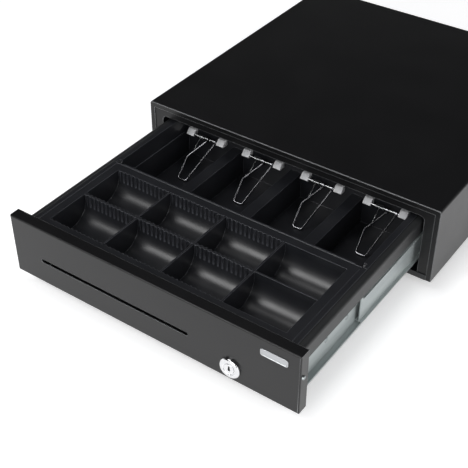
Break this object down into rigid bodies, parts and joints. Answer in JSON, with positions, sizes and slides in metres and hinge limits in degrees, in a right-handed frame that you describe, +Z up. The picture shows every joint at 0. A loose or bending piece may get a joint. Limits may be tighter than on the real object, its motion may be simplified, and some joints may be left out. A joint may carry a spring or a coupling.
{
  "type": "cash drawer",
  "caption": "Steel cash drawer with a sliding front drawer, lift-out coin tray, sprung note clips, cheque slot and cam lock.",
  "frame": {"origin": "middle of the four fixing holes, on the underside of the base pan", "axes": "+Y from the front of the case towards its back, against the way the drawer opens; +Z up; +X to the right as seen from the front"},
  "size_m": [0.41, 0.6852, 0.11],
  "materials": {
    "black_powder_coat": "black powder coat, fine satin texture",
    "black_pan": "black painted sheet, satin",
    "foot_rubber": "moulded rubber",
    "zinc_screw": "zinc plated",
    "zinc_slide": "zinc plated rolled steel",
    "bearing_steel": "bright spring and bearing steel",
    "zinc_bracket": "zinc plated pressed steel",
    "coil_wrap": "varnished coil wrap",
    "socket_plastic": "moulded socket",
    "insert_plastic": "black moulded ABS, fine satin",
    "tab_plastic": "light grey moulded plastic",
    "clip_wire": "dark oiled spring wire",
    "lock_chrome": "polished chrome",
    "lock_nut_brass": "plain brass"
  },
  "bodies": {
    "case": {"case_cover": "black_powder_coat", "base_pan": "black_pan", "front_frame": "black_powder_coat", "rear_panel": "black_powder_coat", "rubber_feet": "foot_rubber", "cover_screws": "zinc_screw", "bracket_left": "black_powder_coat", "bracket_right": "black_powder_coat", "slide_case_left": "zinc_slide", "slide_case_right": "zinc_slide", "lock_keeper": "zinc_bracket", "latch_bracket": "zinc_bracket", "latch_pivot": "bearing_steel", "solenoid_frame": "zinc_bracket", "solenoid_coil": "coil_wrap", "eject_bracket": "zinc_bracket", "eject_spring": "bearing_steel", "interface_socket": "socket_plastic"},
    "slide_mid_left": {"slide_mid_left": "zinc_slide", "ball_cages_left": "bearing_steel"},
    "slide_mid_right": {"slide_mid_right": "zinc_slide", "ball_cages_right": "bearing_steel"},
    "drawer": {"drawer_pan": "black_pan", "front_panel": "black_powder_coat", "slide_drawer_left": "zinc_slide", "slide_drawer_right": "zinc_slide", "striker": "zinc_bracket", "cash_insert": "insert_plastic", "lock_cover": "insert_plastic", "note_tray": "insert_plastic", "clip_tabs": "tab_plastic", "clip_rods": "bearing_steel", "clip_springs": "bearing_steel", "lock_body": "lock_chrome", "lock_nut": "lock_nut_brass", "panel_screws": "zinc_screw"},
    "lock_plug": {"lock_plug": "lock_chrome", "lock_cam": "lock_chrome"},
    "coin_tray": {"coin_tray": "insert_plastic"},
    "note_clip_1": {"note_clip_1": "clip_wire"},
    "note_clip_2": {"note_clip_2": "clip_wire"},
    "note_clip_3": {"note_clip_3": "clip_wire"},
    "note_clip_4": {"note_clip_4": "clip_wire"},
    "latch_lever": {"latch_lever": "zinc_bracket"},
    "solenoid_plunger": {"solenoid_plunger": "zinc_bracket"}
  },
  "joints": [
    {"name": "drawer_slide", "type": "slide", "parent": "case", "child": "drawer", "axis": [0, 1, 0], "range_m": [0, 0.25], "deforming": ["eject_spring"]},
    {"name": "slide_mid_left_run", "type": "slide", "parent": "case", "child": "slide_mid_left", "axis": [0, 1, 0], "range_m": [0, 0.125]},
    {"name": "slide_mid_right_run", "type": "slide", "parent": "case", "child": "slide_mid_right", "axis": [0, 1, 0], "range_m": [0, 0.125]},
    {"name": "coin_tray_lift", "type": "slide", "parent": "drawer", "child": "coin_tray", "axis": [0, 0, -1], "range_m": [-0.12, 0]},
    {"name": "lock_turn", "type": "hinge", "parent": "drawer", "child": "lock_plug", "pos_m": [0.11, -0.4585, 0.028], "axis": [0, -1, 0], "range_deg": [0, 90]},
    {"name": "latch_swing", "type": "hinge", "parent": "case", "child": "latch_lever", "pos_m": [0.016, 0.1115, 0.0365], "axis": [0, 0, -1], "range_deg": [0, 20]},
    {"name": "solenoid_pull", "type": "slide", "parent": "case", "child": "solenoid_plunger", "axis": [0, -1, 0], "range_m": [0, 0.008]},
    {"name": "note_clip_1_lift", "type": "hinge", "parent": "drawer", "child": "note_clip_1", "pos_m": [-0.13305, -0.1862, 0.06], "axis": [1, 0, 0], "range_deg": [-75, 0], "stiffness_Nm_per_rad": 0.05},
    {"name": "note_clip_2_lift", "type": "hinge", "parent": "drawer", "child": "note_clip_2", "pos_m": [-0.04602, -0.1862, 0.06], "axis": [1, 0, 0], "range_deg": [-75, 0], "stiffness_Nm_per_rad": 0.05},
    {"name": "note_clip_3_lift", "type": "hinge", "parent": "drawer", "child": "note_clip_3", "pos_m": [0.04102, -0.1862, 0.06], "axis": [1, 0, 0], "range_deg": [-75, 0], "stiffness_Nm_per_rad": 0.05},
    {"name": "note_clip_4_lift", "type": "hinge", "parent": "drawer", "child": "note_clip_4", "pos_m": [0.12805, -0.1862, 0.06], "axis": [1, 0, 0], "range_deg": [-75, 0], "stiffness_Nm_per_rad": 0.05}
  ],
  "couplings": [
    {"joint": "slide_mid_left_run", "follows": "drawer_slide", "ratio": 0.5},
    {"joint": "slide_mid_right_run", "follows": "drawer_slide", "ratio": 0.5},
    {"joint": "solenoid_pull", "follows": "latch_swing", "m_per_rad": 0.02156}
  ]
}
